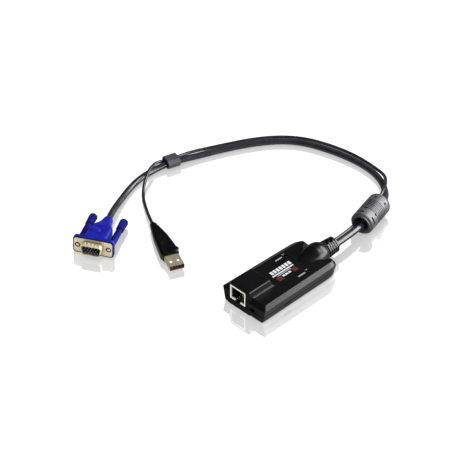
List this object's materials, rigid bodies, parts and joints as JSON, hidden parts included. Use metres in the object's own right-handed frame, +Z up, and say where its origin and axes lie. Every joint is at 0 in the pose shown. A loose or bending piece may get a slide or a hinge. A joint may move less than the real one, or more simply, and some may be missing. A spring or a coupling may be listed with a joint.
{
  "type": "kvm dongle",
  "caption": "Small black adapter lead: flat housing with a network socket, and two leads through a ferrite bead to a blue VGA plug with thumbscrews and a USB plug.",
  "frame": {"origin": "on the supporting surface, under the middle of the housing with its gland", "axes": "+X from the socket face towards the gland, +Y to the left, +Z up"},
  "size_m": [0.243, 0.1979, 0.0205],
  "materials": {
    "black_abs": "fine texture",
    "green_laminate": "satin",
    "tinned_steel": "satin",
    "dark_nylon": "matt",
    "gold_contact": "polished",
    "chip_epoxy": "matt",
    "crystal_can": "satin",
    "green_lens": "translucent",
    "amber_lens": "translucent",
    "black_rubber": "satin",
    "cable_jacket": "glossy",
    "grey_sleeve": "satin",
    "ferrite": "matt",
    "blue_hood": "satin",
    "nickel_shell": "satin",
    "steel_screw": "satin",
    "white_tongue": "satin"
  },
  "bodies": {
    "adapter": {"top_shell": "black_abs", "bottom_shell": "black_abs", "circuit_board": "green_laminate", "jack_shield": "tinned_steel", "jack_insert": "dark_nylon", "jack_contacts": "gold_contact", "main_chip": "chip_epoxy", "video_chip": "chip_epoxy", "crystal": "crystal_can", "board_header": "dark_nylon", "power_led": "green_lens", "link_led": "amber_lens", "cable_gland": "black_rubber", "vga_cable": "cable_jacket", "usb_cable": "cable_jacket", "ferrite_sleeve": "grey_sleeve", "ferrite_core": "ferrite", "cable_clip": "grey_sleeve", "vga_hood": "blue_hood", "vga_shell": "nickel_shell", "vga_insulator": "dark_nylon", "vga_pins": "gold_contact", "usb_overmould": "black_rubber", "usb_shell": "nickel_shell", "usb_tongue": "white_tongue", "usb_contacts": "gold_contact"},
    "left_thumbscrew": {"left_jackscrew": "steel_screw", "left_screw_head": "blue_hood"},
    "right_thumbscrew": {"right_jackscrew": "steel_screw", "right_screw_head": "blue_hood"}
  },
  "joints": [
    {"name": "left_thumbscrew_turn", "type": "hinge", "parent": "adapter", "child": "left_thumbscrew", "pos_m": [-0.07194, 0.14955, 0.00611], "axis": [0.8708, 0.4867, -0.0698], "continuous": true},
    {"name": "right_thumbscrew_turn", "type": "hinge", "parent": "adapter", "child": "right_thumbscrew", "pos_m": [-0.05975, 0.12772, 0.00611], "axis": [0.8708, 0.4867, -0.0698], "continuous": true}
  ]
}
